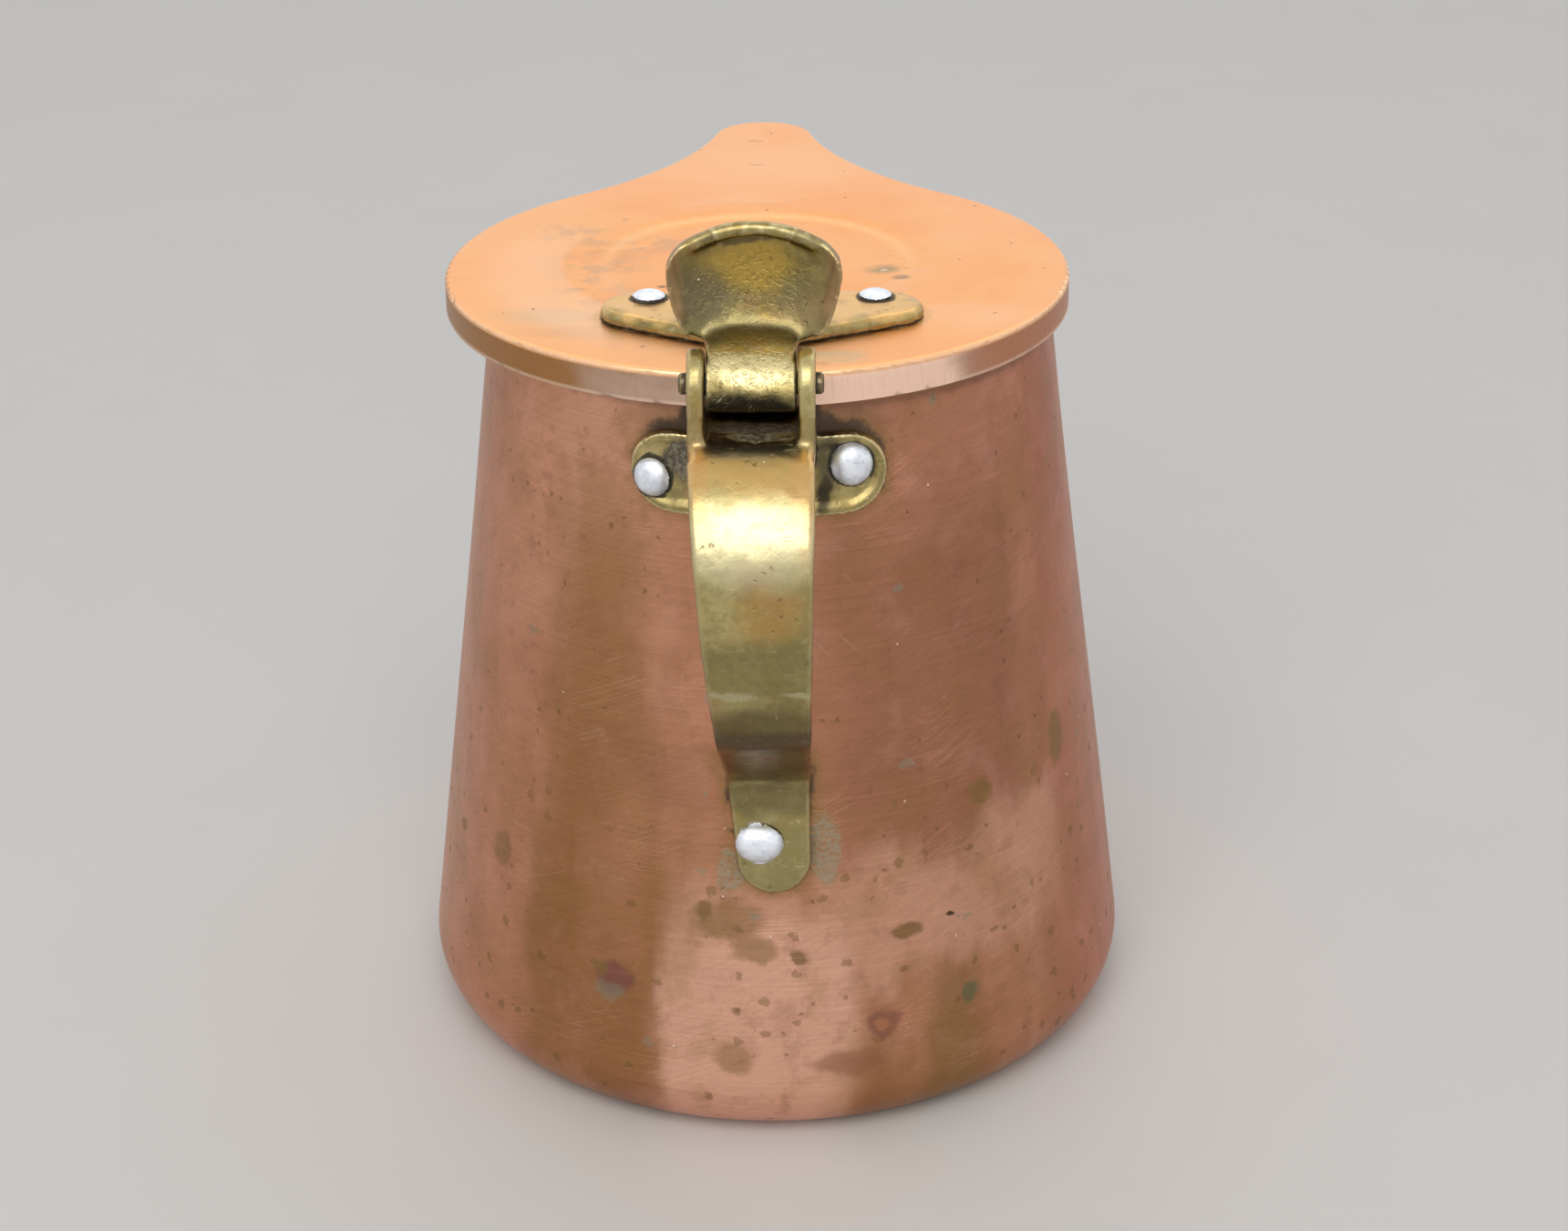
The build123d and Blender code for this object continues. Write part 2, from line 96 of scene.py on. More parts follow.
# a socket with arithmetic, so that shader maths reads as plain sums
class Signal:
    def __init__(self, nodes, socket):
        self.nodes = nodes
        self.socket = socket

    def math(self, operation, *values):
        return self.nodes.node("ShaderNodeMath", {"operation": operation}, dict(enumerate(values)))

    def __add__(self, other):
        return self.math("ADD", self, other)

    def __sub__(self, other):
        return self.math("SUBTRACT", self, other)

    def __rsub__(self, other):
        return self.math("SUBTRACT", other, self)

    def __mul__(self, other):
        return self.math("MULTIPLY", self, other)

    def __or__(self, other):
        return self.math("MAXIMUM", self, other)

    def __abs__(self):
        return self.math("ABSOLUTE", self)

    __radd__ = __add__
    __rmul__ = __mul__


# every node is made here: settings first, then values or links
class Nodes:
    def __init__(self, owner):
        owner.use_nodes = True
        self.tree = owner.node_tree
        self.tree.nodes.clear()

    def node(self, kind, settings=None, values=None, output=0):
        made = self.tree.nodes.new(kind)
        for name, value in (settings or {}).items():
            setattr(made, name, value)
        for name, value in (values or {}).items():
            if isinstance(value, Signal):
                self.tree.links.new(value.socket, made.inputs[name])
            else:
                made.inputs[name].default_value = value
        return Signal(self, made.outputs[output]) if output is not None else None


# a material, its patterns measured in mm on Object coordinates
class Finish(Nodes):
    def __init__(self, name):
        self.material = bpy.data.materials.new(name)
        super().__init__(self.material)
        inMetres = self.node("ShaderNodeTexCoord", output="Object")
        scaled = {0: inMetres, "Scale": 1000.0}
        self.place = self.node("ShaderNodeVectorMath", {"operation": "SCALE"}, scaled)
        split = self.node("ShaderNodeSeparateXYZ", values={0: self.place}).socket.node
        self.x, self.y, self.z = (Signal(self, split.outputs[axis]) for axis in "XYZ")
        self.uneven = self.shaken(5.0, 4.0)

    # a pattern with features of this size in mm along its own, turned axes
    def drawn(self, size, turn=(0, 0, 0), shift=(0, 0, 0), vector=None):
        values = {0: vector or self.place, "Scale": size, "Rotation": turn, "Location": shift}
        return self.node("ShaderNodeMapping", {"vector_type": "TEXTURE"}, values)

    def cloud(self, vector, detail=3.0, rough=0.55, warp=0.0, output="Fac"):
        values = {"Vector": vector, "Scale": 1.0, "Detail": detail, "Roughness": rough, "Distortion": warp}
        return self.node("ShaderNodeTexNoise", values=values, output=output)

    # cloud of features of one size in mm
    def mottle(self, size, detail=4.0, rough=0.6, warp=0.0, shift=(0, 0, 0)):
        return self.cloud(self.drawn((size,) * 3, shift=shift), detail, rough, warp)

    def step(self, value, low, high):
        settings = {"interpolation_type": "SMOOTHSTEP", "clamp": True}
        return self.node("ShaderNodeMapRange", settings, {0: value, 1: low, 2: high, 3: 0.0, 4: 1.0})

    # 1 between low and high, with soft borders
    def window(self, value, low, high, soft):
        return self.step(value, low - soft, low + soft) * (1 - self.step(value, high - soft, high + soft))

    def mix(self, factor, first, second, blend="MIX"):
        first, second = ((*c, 1) if isinstance(c, tuple) else c for c in (first, second))
        settings = {"data_type": "RGBA", "clamp_factor": True, "blend_type": blend}
        return self.node("ShaderNodeMix", settings, {0: factor, 6: first, 7: second}, 2)

    def mark(self, name):
        return self.node("ShaderNodeAttribute", {"attribute_name": name}, output="Fac")

    def vector(self, operation, *values, output=0):
        return self.node("ShaderNodeVectorMath", {"operation": operation}, dict(enumerate(values)), output)

    # the place, shaken by a cloud, so that round patterns get uneven borders
    def shaken(self, size, amount, vector=None):
        place = vector or self.place
        shake = self.cloud(self.drawn((size,) * 3, vector=place), 3.0, output="Color")
        return self.vector("MULTIPLY_ADD", shake, (amount,) * 3, place)

    # thin straight lines where a long drawn-out cloud crosses its middle value, broken up into strokes
    def scratches(self, turn, long, wide, width, shift, vector=None, kept=0.55):
        trace = self.cloud(self.drawn((long, wide, long), turn, shift, vector), 1.0)
        strokes = self.cloud(self.drawn((long * 0.2,) * 3, shift=shift, vector=vector), 2.0)
        line = 1 - self.step(abs(trace - 0.5), width * 0.3, width)
        return line * self.step(strokes, kept, kept + 0.06)

    # small uneven spots: one in each cell of this pitch in mm, of which kept is the share that shows
    def specks(self, pitch, size, kept, vector=None, shake=0.35):
        flat = {"voronoi_dimensions": "2D"} if vector else {}
        place = self.shaken(pitch * 0.35, pitch * shake, vector)
        cell = {"Vector": self.drawn((pitch,) * 3, vector=place), "Scale": 1.0}
        away = self.node("ShaderNodeTexVoronoi", flat, cell, "Distance")
        hue = self.node("ShaderNodeTexVoronoi", flat, cell, "Color")
        draw = self.node("ShaderNodeSeparateColor", values={0: hue})
        return 1 - self.step(away + self.step(draw, kept * 0.2, kept), size * 0.7, size)

    # a blot about a place in mm, with an uneven border
    def blot(self, centre, size, soft=0.4):
        size = size if isinstance(size, tuple) else (size,) * 3
        centre = tuple(value + 2.0 for value in centre)  # the mean of the shaking
        away = self.vector("DIVIDE", self.vector("SUBTRACT", self.uneven, centre), size)
        return 1 - self.step(self.vector("LENGTH", away, output="Value"), 1 - soft, 1 + soft)

    def patched(self, colour, patches, soft=0.4):
        for centre, size, tint, amount in patches:
            colour = self.mix(self.blot(centre, size, soft) * amount, colour, tint)
        return colour

    def metal(self, colour, rough, height, depth, dull=0.0):
        bump = self.node("ShaderNodeBump", values={"Strength": 1.0, "Distance": depth, "Height": height})
        values = {"Base Color": colour, "Roughness": rough, "Metallic": 1.0 - dull, "Normal": bump}
        return self.ended(self.node("ShaderNodeBsdfPrincipled", values=values))

    def ended(self, shader):
        self.node("ShaderNodeOutputMaterial", values={"Surface": shader}, output=None)
        return self.material


# vessel and spout: brushed round, pink where rubbed, brown and gold where tarnished
def vesselCopper():
    f = Finish("vesselCopper")
    radius = 52.0  # of the wall at mid height
    around = f.x.math("ARCTAN2", f.x, f.y * -1) * radius  # in mm, from the middle of the handle side
    wall = f.node("ShaderNodeCombineXYZ", values={0: around, 1: f.z, 2: 0.0})
    base, pink, brown = (0.53, 0.245, 0.14), (0.82, 0.46, 0.335), (0.34, 0.150, 0.085)
    golden, tan, olive = (0.35, 0.165, 0.06), (0.28, 0.165, 0.06), (0.20, 0.125, 0.04)
    purple, red, darkDirtAndShade = (0.24, 0.095, 0.085), (0.52, 0.165, 0.10), (0.055, 0.035, 0.022)
    residue = (0.31, 0.29, 0.21)
    streaks = f.cloud(f.drawn((9, 42, 9), vector=wall), 3.0, 0.5, 0.5)
    fine = f.mottle(5.0, 5.0, 0.68)
    blotch = f.mottle(13.0, 5.0, 0.62, 0.3, (4, 7, 1))
    grain = f.mottle(0.8, 3.0, 0.65)
    brushed = f.cloud(f.drawn((26, 0.45, 9), vector=wall), 3.0, 0.7)
    slanted = f.cloud(f.drawn((20, 0.5, 9), (0, 0, 0.5), (5, 3, 0), wall), 2.0, 0.65)
    wander = f.cloud(f.drawn((12, 24, 12), shift=(3, 9, 0), vector=wall), 5.0, 0.6)
    across = around + (wander - 0.5) * 10
    up = f.z + (wander - 0.5) * 26 - around * 0.12
    colour = f.mix(f.step(streaks, 0.40, 0.66) * 0.5, base, brown)
    for share, tint in (
        (f.window(across, 8, 46, 6) * f.step(up, 36, 48) * 0.70, (0.36, 0.152, 0.095)),  # beside the strap
        (f.window(across, 9, 30, 6) * f.step(up, 78, 104) * 0.3, (0.36, 0.175, 0.075)),  # below the ear
        (f.window(across, 16, 56, 8) * f.step(up, 88, 108) * 0.5, (0.62, 0.27, 0.18)),  # upper right
        (f.window(across, -54, -20, 8) * f.step(up, 74, 100) * 0.65, (0.74, 0.38, 0.255)),  # upper left
        (f.window(across, -78, -40, 6) * 0.5, (0.62, 0.27, 0.16)),  # left side
        (f.window(across, -17, 12, 2.5) * (1 - f.step(up, 30, 52)) * 0.85, pink),  # rubbed, below the foot
        (f.window(across, 12, 52, 4) * f.window(up, 24, 46, 4) * 0.45, pink),  # rubbed, lower right
        (f.window(across, -37, -21, 6) * f.window(up, 30, 106, 14) * 0.7, golden),  # upright golden-brown strip left of the strap
        (f.window(across, -39, -16, 1.8) * f.window(up, 8, 52, 8) * 0.75, golden),  # its lower half, with a sharp right border
        (f.window(across, -30, -19, 1.8) * f.window(up, 30, 58, 5) * 0.4, base),  # the base colour again in part of it
        (f.window(across, 9, 34, 4) * (1 - f.step(up, 10, 20)) * 0.6, golden),  # bottom edge
        (f.window(across, 23, 30, 2) * (1 - f.step(up, 16, 30)) * 0.6, tan),
        (f.window(across, 50, 80, 8) * 0.55, red),  # right side
        (f.step(blotch, 0.48, 0.64) * 0.30, (0.36, 0.19, 0.07)),  # all over
        (f.step(0.5 - blotch, 0.0, 0.18) * 0.14, pink),
        (f.step(fine, 0.5, 0.66) * 0.26, brown),
    ):
        colour = f.mix(share, colour, tint)
    colour = f.patched(colour, (
        ((-24.9, -51.9, 26.3), (3.4, 3.4, 2.6), purple, 0.75),
        ((-26.0, -51.7, 24.1), (3.0, 3.0, 1.6), residue, 0.45),
        ((17.6, -55.7, 20.1), 2.5, (0.28, 0.12, 0.08), 0.75),
        ((17.6, -55.9, 20.1), 1.3, (0.48, 0.21, 0.11), 0.7),
        ((45.7, -27.9, 56.4), (1.6, 2.6, 4.4), tan, 0.75),
        ((32.6, -42.6, 55.2), (2.4, 2.4, 2.0), tan, 0.75),
        ((-6.6, -55.4, 39.1), (5.6, 5.6, 3.6), tan, 0.6),
        ((-2.5, -56.6, 34.0), (3.4, 3.4, 2.2), tan, 0.6),
        ((-11.0, -56.1, 40.5), 2.0, olive, 0.65),
        ((-43.7, -34.5, 40.0), (2.6, 2.6, 3.4), olive, 0.5),
        ((21.1, -52.2, 35.3), (2.3, 2.3, 1.1), olive, 0.75),
        ((-6.2, -58.6, 15.8), (3.2, 3.2, 2.6), tan, 0.55),
        ((4.7, -56.4, 33.0), 1.5, olive, 0.75),
        ((31.6, -48.8, 22.0), 1.5, (0.17, 0.17, 0.09), 0.8),
        ((12.0, -58.0, 14.5), (6.0, 6.0, 2.2), brown, 0.6),
        ((27.7, -49.0, 35.8), 0.6, darkDirtAndShade, 0.9),
        ((-2.0, -52.0, 62.0), (22.0, 9.0, 7.0), brown, 0.35),
    ), 0.3)
    low = 1 - f.step(f.z + (fine - 0.5) * 60, 42, 66)
    big = f.specks(12.0, 0.13, 0.32, wall) * (low * 0.8 + 0.2)
    middle = f.specks(4.0, 0.21, 0.5, wall, 0.6) * (low * 0.6 + 0.25)
    small = f.specks(2.2, 0.20, 0.42, wall, 0.7) * f.step(fine + (blotch - 0.5) * 0.6, 0.50, 0.60)
    for share, tint in (
        (big * 0.75, tan),
        (middle * 0.6, olive),
        (small * 0.55, (0.17, 0.095, 0.045)),
        (f.specks(8.0, 0.12, 0.2, wall, 0.7) * 0.45, residue),
        (f.specks(7.0, 0.03, 0.3, wall, 0.1) * 0.8, (0.9, 0.74, 0.62)),
    ):
        colour = f.mix(share, colour, tint)
    # dirt and painted shade: the wall turns brown, then near black, close to the bracket, the strap and
    # the lid
    near = f.mark("near")
    colour = f.mix(f.step(near + (fine - 0.5) * 1.1, 0.15, 0.75) * 0.6, colour, (0.30, 0.175, 0.06))
    # darker crescents on the wall above the two ears
    darkAboveEars = f.blot((-14.5, -43.0, 117.6), (6.5, 6, 3), 0.6) | f.blot((11.5, -43.5, 118.0), (6, 6, 3), 0.6)
    grimeAndShade = f.step(near + darkAboveEars * 0.22 + (fine - 0.5) * 0.6 + (grain - 0.5) * 0.5, 0.66, 1.0)
    colour = f.mix(darkAboveEars * 0.4, colour, (0.20, 0.125, 0.07))
    colour = f.mix(grimeAndShade * 0.85, colour, darkDirtAndShade)
    # painted shadow: the wall darkened from just under the lid's skirt up to the rim
    shadowUnderLid = f.step(f.z + (fine - 0.5) * 1.8, 118.3, 120.0)
    colour = f.mix(shadowUnderLid * 0.55, colour, (0.16, 0.08, 0.05))
    scum = f.blot((8.2, -53.7, 51.0), (2.6, 5.0, 5.6), 0.15)
    scum = scum | f.blot((-6.4, -54.4, 47.0), (2.0, 5.0, 3.6), 0.2)
    crust = scum * f.step(grain, 0.34, 0.60)
    colour = f.mix(scum * 0.55, colour, (0.36, 0.22, 0.10))
    colour = f.mix(crust * 0.6, colour, residue)
    strokes = f.scratches((0, 0, 0.45), 90, 0.9, 0.007, (3, 8, 1), wall, 0.54)
    strokes = strokes | f.scratches((0, 0, -0.8), 60, 1.1, 0.006, (9, 2, 5), wall, 0.58)
    strokes = strokes | f.scratches((0, 0, 0.04), 90, 0.9, 0.007, (1, 5, 2), wall, 0.54)
    colour = f.mix(strokes * 0.13, colour, (0.85, 0.58, 0.44))
    tone = 0.70 + brushed * 0.36 + slanted * 0.22 + (grain - 0.5) * 0.14
    grey = f.node("ShaderNodeCombineColor", values={0: tone, 1: tone, 2: tone})
    colour = f.mix(1.0, colour, grey, "MULTIPLY")
    rough = 0.27 + streaks * 0.08 + brushed * 0.14 + grimeAndShade * 0.25
    rough = rough + (big | middle | small) * 0.12 + crust * 0.3
    height = brushed * 0.6 + slanted * 0.25 + fine * 0.4 - strokes * 0.3 + crust * 1.2 + grimeAndShade * grain
    return f.metal(colour, rough, height, 0.035 * mm, (grimeAndShade * 0.8) | (crust * 0.7))


# the lid has kept more of its polish
def lidCopper():
    f = Finish("lidCopper")
    orange, deep, pale = (0.96, 0.44, 0.142), (0.94, 0.38, 0.112), (0.97, 0.53, 0.23)
    darkDirtAndShade = (0.10, 0.06, 0.035)
    radius, plate, top, foot = 49.5, 126.0, 127.0, 122.3  # of the lid, and heights on its edge
    level = f.node("ShaderNodeCombineXYZ", values={0: f.x, 1: f.y, 2: 0.0})
    wide = f.mottle(26.0, 3.0, 0.5, 0.4)
    fine = f.mottle(4.0, 5.0, 0.65)
    wiped = f.cloud(f.drawn((40, 1.3, 9), (0, 0, 0.35)), 3.0, 0.6)
    colour = f.mix(f.step(wide, 0.42, 0.62) * 0.6, orange, deep)
    colour = f.mix(f.step(wiped, 0.50, 0.70) * 0.25, colour, pale)
    colour = f.mix(f.step(fine, 0.52, 0.68) * 0.18, colour, (0.80, 0.34, 0.13))
    smudge = 0.0
    for centre, size in (
        ((-27.5, -12.0, 127.0), (5.5, 7.0, 9.0)),
        ((-27.0, 1.0, 127.0), (7.0, 5.5, 9.0)),
        ((-22.0, 12.0, 127.0), (8.5, 4.0, 9.0)),
        ((-33.0, 17.0, 127.0), (6.0, 4.0, 9.0)),
    ):
        smudge = f.blot(centre, size, 0.8) + smudge
    smudge = smudge * f.step(fine + (wide - 0.5) * 0.4, 0.40, 0.58)
    colour = f.mix(smudge * 0.55, colour, (0.56, 0.32, 0.17))
    colour = f.patched(colour, (
        ((-33.0, -24.0, 127.0), (8.0, 3.4, 9.0), (0.66, 0.40, 0.17), 0.6),
        ((-25.0, -31.0, 127.0), (11.0, 3.0, 9.0), (0.66, 0.30, 0.09), 0.5),
        ((9.5, -42.0, 127.0), (4.5, 2.4, 9.0), (0.52, 0.45, 0.25), 0.7),
        ((9.5, -42.6, 127.0), (2.6, 1.3, 9.0), (0.80, 0.42, 0.14), 0.7),
        ((30.0, -24.6, 127.0), (9.0, 5.0, 9.0), (0.97, 0.54, 0.28), 0.5),
        ((-2.0, 52.0, 127.0), (14.0, 12.0, 9.0), (0.97, 0.52, 0.24), 0.4),
        ((18.0, -1.6, 127.0), (2.2, 1.9, 9.0), (0.36, 0.24, 0.10), 0.8),
        ((18.0, -1.6, 127.0), (0.55, 0.55, 9.0), (0.80, 0.70, 0.5), 0.9),
        ((21.0, -6.0, 127.0), (1.0, 1.0, 9.0), darkDirtAndShade, 0.7),
        ((-17.0, -9.0, 127.0), (0.7, 0.7, 9.0), darkDirtAndShade, 0.8),
    ), 0.6)
    fromDish = f.vector("LENGTH", f.vector("SUBTRACT", level, (-2.2, 2.0, 0.0)), output="Value")
    # painted highlight: a pale arc round the edge of the dish, stronger towards the back
    rise = f.window(fromDish + (wide - 0.5) * 1.5, 23.6, 25.0, 1.4) * (0.35 + f.step(f.y, -6, 20) * 0.65)
    colour = f.mix(rise * 0.55, colour, (0.99, 0.64, 0.32))
    outer = f.step(fromDish, 30, 32)
    skirt = (1 - f.step(f.z, plate, plate + 0.5)) * outer
    around = f.x.math("ARCTAN2", f.x, f.y * -1) * radius
    edge = f.node("ShaderNodeCombineXYZ", values={0: around, 1: f.z, 2: 0.0})
    upright = f.cloud(f.drawn((0.28, 12, 9), (0, 0, 0.12), vector=edge), 3.0, 0.7)
    patches = f.cloud(f.drawn((16, 9, 9), vector=edge), 4.0, 0.6)
    along = around + (patches - 0.5) * 20
    skirtSheen = f.window(along, 3, 31, 5)
    side = f.mix(f.step(patches, 0.36, 0.60), (0.46, 0.29, 0.20), (0.58, 0.40, 0.30))
    side = f.mix((1 - f.step(along, -34, -18)) * 0.85, side, (0.42, 0.19, 0.05))
    # painted reflection: a near-white band across the right-hand front of the skirt
    side = f.mix(skirtSheen * 0.95, side, (1.0, 0.72, 0.57))
    side = f.mix(f.step(along, 26, 42) * 0.9, side, (0.58, 0.24, 0.13))
    side = f.mix(f.step(upright, 0.50, 0.74) * 0.25, side, (0.34, 0.16, 0.11))
    side = f.mix((1 - f.step(f.z, foot, foot + 0.4)) * 0.5, side, (0.97, 0.70, 0.54))
    colour = f.mix(skirt, colour, side)
    # painted highlight along the rounded edge between the top and the skirt
    colour = f.mix(f.window(f.z, plate + 0.3, top, 0.2) * outer * 0.6, colour, (1.0, 0.70, 0.48))
    colour = f.mix(f.specks(4.4, 0.08, 0.10, level) * 0.6, colour, (0.22, 0.12, 0.06))
    colour = f.mix(f.specks(11.0, 0.09, 0.35, level, 0.6) * 0.4, colour, (0.50, 0.26, 0.12))
    colour = f.mix(f.specks(4.0, 0.16, 0.14, edge, 0.6) * skirt * 0.6, colour, (0.20, 0.12, 0.10))
    # dirt and painted shade: the lid turns ochre, then near black, next to the thumb piece
    near = f.mark("near")
    colour = f.mix(f.step(near + (fine - 0.5) * 0.9, 0.25, 0.8) * 0.45, colour, (0.60, 0.34, 0.11))
    grimeAndShade = f.step(near + (fine - 0.5) * 0.4, 0.80, 0.98)
    colour = f.mix(grimeAndShade * 0.9, colour, darkDirtAndShade)
    strokes = f.scratches((0, 0, 0.4), 60, 1.0, 0.007, (4, 1, 7))
    strokes = strokes | f.scratches((0, 0, 1.9), 50, 1.1, 0.006, (1, 6, 3))
    colour = f.mix(strokes * (1 - skirt) * 0.25, colour, pale)
    rough = 0.25 + wide * 0.08 + wiped * 0.06 + skirt * (skirtSheen * 0.2 + 0.06) + grimeAndShade * 0.3
    height = fine * 0.4 + wiped * 0.25 + upright * skirt * 0.25 - strokes * (1 - skirt) * 0.2
    return f.metal(colour, rough, height, 0.03 * mm, grimeAndShade * 0.8)


# cast brass: olive, dark in hollows and next to other parts as dirt and painted shade, pale gold on rubbed
# edges, pitted by the mould
def agedBrass(name, pale, dull, worn, patches=(), over=(), pitted=(), ashen=()):
    f = Finish(name)
    darkDirtAndShade, ochre, brown = (0.035, 0.03, 0.022), (0.40, 0.26, 0.05), (0.38, 0.185, 0.09)
    wide = f.mottle(9.0, 4.0, 0.6, 0.5)
    fine = f.mottle(1.6, 5.0, 0.65)
    pits = f.specks(1.2, 0.36, 0.6, shake=0.7) * f.step(wide, 0.50, 0.62)
    colour = f.mix(f.step(wide * 0.5 + fine * 0.5, 0.38, 0.60), pale, dull)
    colour = f.mix(f.step(f.mottle(7.0, 4.0, 0.6, 0.3, (9, 4, 2)), 0.52, 0.68) * 0.4, colour, ochre)
    colour = f.mix(f.step(f.mottle(12.0, 3.0, 0.6, 0.3, (2, 8, 5)), 0.56, 0.7) * 0.4, colour, brown)
    # the listed tints, among them painted highlights, reflections and shade
    colour = f.patched(colour, patches)
    edge, hollow, near = f.mark("edge"), f.mark("hollow"), f.mark("near")
    colour = f.mix(f.step(edge + (fine - 0.5) * 1.2, 0.35, 0.85) * worn, colour, (0.78, 0.66, 0.36))
    # the listed marks, among them painted highlights, reflections and shade
    colour = f.patched(colour, over)
    coarse = 0.0
    for centre, size in pitted:
        coarse = f.blot(centre, size, 0.5) * f.step(f.mottle(1.0, 3.0, 0.6, 0.8), 0.50, 0.60) + coarse
    colour = f.mix(coarse * 0.3, colour, (0.22, 0.17, 0.07)) if pitted else colour
    colour = f.mix(pits * 0.45, colour, (0.16, 0.13, 0.06))
    # dirt and painted shade: near black in hollows and next to other parts, with ash specks in it
    grimeAndShade = f.step(hollow * 0.9 + near + (fine - 0.5) * 0.7, 0.45, 0.85)
    colour = f.mix(grimeAndShade * 0.92, colour, darkDirtAndShade)
    ash = f.specks(0.9, 0.34, 0.4, shake=0.7) * grimeAndShade
    colour = f.mix(ash * 0.6, colour, (0.36, 0.35, 0.31))
    dust = 0.0
    for centre, size in ashen:
        dust = f.blot(centre, size) + dust
    if ashen:
        dust = f.step(dust, 0.1, 0.9)
        lumps = f.step(f.mottle(0.9, 3.0, 0.65), 0.42, 0.60)
        colour = f.mix(dust * 0.9, colour, f.mix(lumps, (0.035, 0.030, 0.022), (0.21, 0.18, 0.12)))
    colour = f.mix(f.specks(3.0, 0.07, 0.3, shake=0.2) * 0.8, colour, (0.95, 0.9, 0.7))
    strokes = f.scratches((0.3, 0.2, 0.5), 14, 0.4, 0.010, (2, 5, 8))
    strokes = strokes | f.scratches((1.2, 0.4, 0.9), 12, 0.4, 0.010, (7, 7, 2))
    colour = f.mix(strokes * 0.16, colour, (0.90, 0.82, 0.55))
    rough = 0.21 + wide * 0.10 + fine * 0.08 + grimeAndShade * 0.35 + pits * 0.1
    height = fine * 0.6 - pits * 1.0 - strokes * 0.2 + ash * 0.5 - coarse * 0.5
    return f.metal(colour, rough, height, 0.08 * mm, (grimeAndShade * 0.7) | dust)


def rivetAluminium():
    f = Finish("rivetAluminium")
    fine = f.mottle(1.6, 5.0, 0.6)
    strokes = f.scratches((0.2, 0.7, 0.4), 6, 0.25, 0.02, (3, 1, 9))
    strokes = strokes | f.scratches((1.0, 0.1, 1.4), 6, 0.25, 0.02, (8, 4, 2))
    colour = f.mix(f.step(fine, 0.40, 0.66), (0.88, 0.91, 0.96), (0.70, 0.73, 0.79))
    colour = f.mix(strokes * 0.5, colour, (0.45, 0.47, 0.50))
    # dirt and painted shade: a dark ring where the head meets its seat
    grimeAndShade = f.step(f.mark("near") + (fine - 0.5) * 0.5, 0.94, 1.15)
    colour = f.mix(grimeAndShade * 0.8, colour, (0.12, 0.11, 0.10))
    return f.metal(colour, 0.42 + fine * 0.14, fine - strokes * 0.4, 0.03 * mm)


# the inside is tinned
def dullTin():
    f = Finish("dullTin")
    wide = f.mottle(20.0, 4.0, 0.6, 0.4)
    brushed = f.cloud(f.drawn((18, 18, 0.35)), 4.0, 0.7)
    colour = f.mix(f.step(wide, 0.35, 0.68), (0.56, 0.55, 0.52), (0.34, 0.33, 0.31))
    colour = f.mix(f.specks(3.5, 0.2, 0.3) * 0.5, colour, (0.2, 0.17, 0.13))
    return f.metal(colour, 0.38 + wide * 0.2, brushed, 0.03 * mm)


# the tints below lie where the photograph shows them, with places and sizes in mm; the marked ones are
# painted highlights, reflections and shade
strapTintsAndPaintedLight = (
    # painted reflection of the copper lid: the top of the strap tinted golden brown
    ((-2.0, -62.0, 119.5), (12, 8, 4.5), (0.62, 0.40, 0.13), 0.7),
    ((5.5, -66.0, 114.0), (2.0, 9, 9), (0.60, 0.31, 0.12), 0.45),
    ((-9.8, -62.0, 118.0), (2.0, 7, 5), (0.60, 0.32, 0.12), 0.6),
    ((-2.0, -60.5, 121.0), (8, 2.6, 3), (0.34, 0.31, 0.19), 0.6),
    # painted shadow: the saddle under the knuckle near black
    ((-2.0, -49.0, 121.0), (8, 3.4, 4), (0.02, 0.018, 0.014), 0.95),
    # painted shade: the lower parts of both lugs darker olive
    ((-9.8, -55.0, 121.5), (2.6, 7, 4), (0.32, 0.26, 0.12), 0.6),
    ((5.8, -55.0, 121.5), (2.6, 7, 4), (0.32, 0.26, 0.12), 0.6),
    ((0.4, -55.5, 50.0), (8, 4, 9), (0.30, 0.26, 0.12), 0.6),
    ((0.5, -74.0, 100.5), (4.5, 8, 4.5), (0.50, 0.30, 0.10), 0.6),
    # painted reflection of a dark floor: the lower strap darker
    ((-1.0, -73.0, 91.0), (14, 9, 5), (0.22, 0.19, 0.08), 0.6),
    # painted reflection of the copper wall: the return of the strap copper brown
    ((0.0, -61.0, 71.0), (14, 12, 6), (0.22, 0.115, 0.06), 0.8),
    # painted shade: the top of the foot tab, under the bend, darker
    ((0.4, -56.0, 61.0), (9, 5, 3), (0.15, 0.12, 0.06), 0.7),
)
strapPaintedLightAndStreaks = (
    # painted highlight: a paler, whiter patch where the lamps' highlight falls
    ((-2.0, -71.5, 110.0), (9, 8, 6), (0.80, 0.73, 0.48), 0.4),
    # painted reflection of a dark floor: the lower bend near black, in two layers
    ((-0.5, -68.0, 80.6), (12, 7, 5.0), (0.14, 0.11, 0.05), 0.8),
    ((-0.5, -67.0, 77.6), (12, 6, 2.8), (0.085, 0.06, 0.035), 0.65),
    # two thin pale streaks above the dark band
    ((-5.0, -71.0, 86.8), (3.4, 4, 0.7), (0.56, 0.52, 0.32), 0.6),
    ((4.0, -71.0, 86.9), (2.6, 4, 0.7), (0.56, 0.52, 0.32), 0.6),
)
strapAsh = (((-2.0, -54.6, 121.0), (7, 2.2, 3)), ((-1.0, -57.6, 121.0), (5, 0.9, 3)))
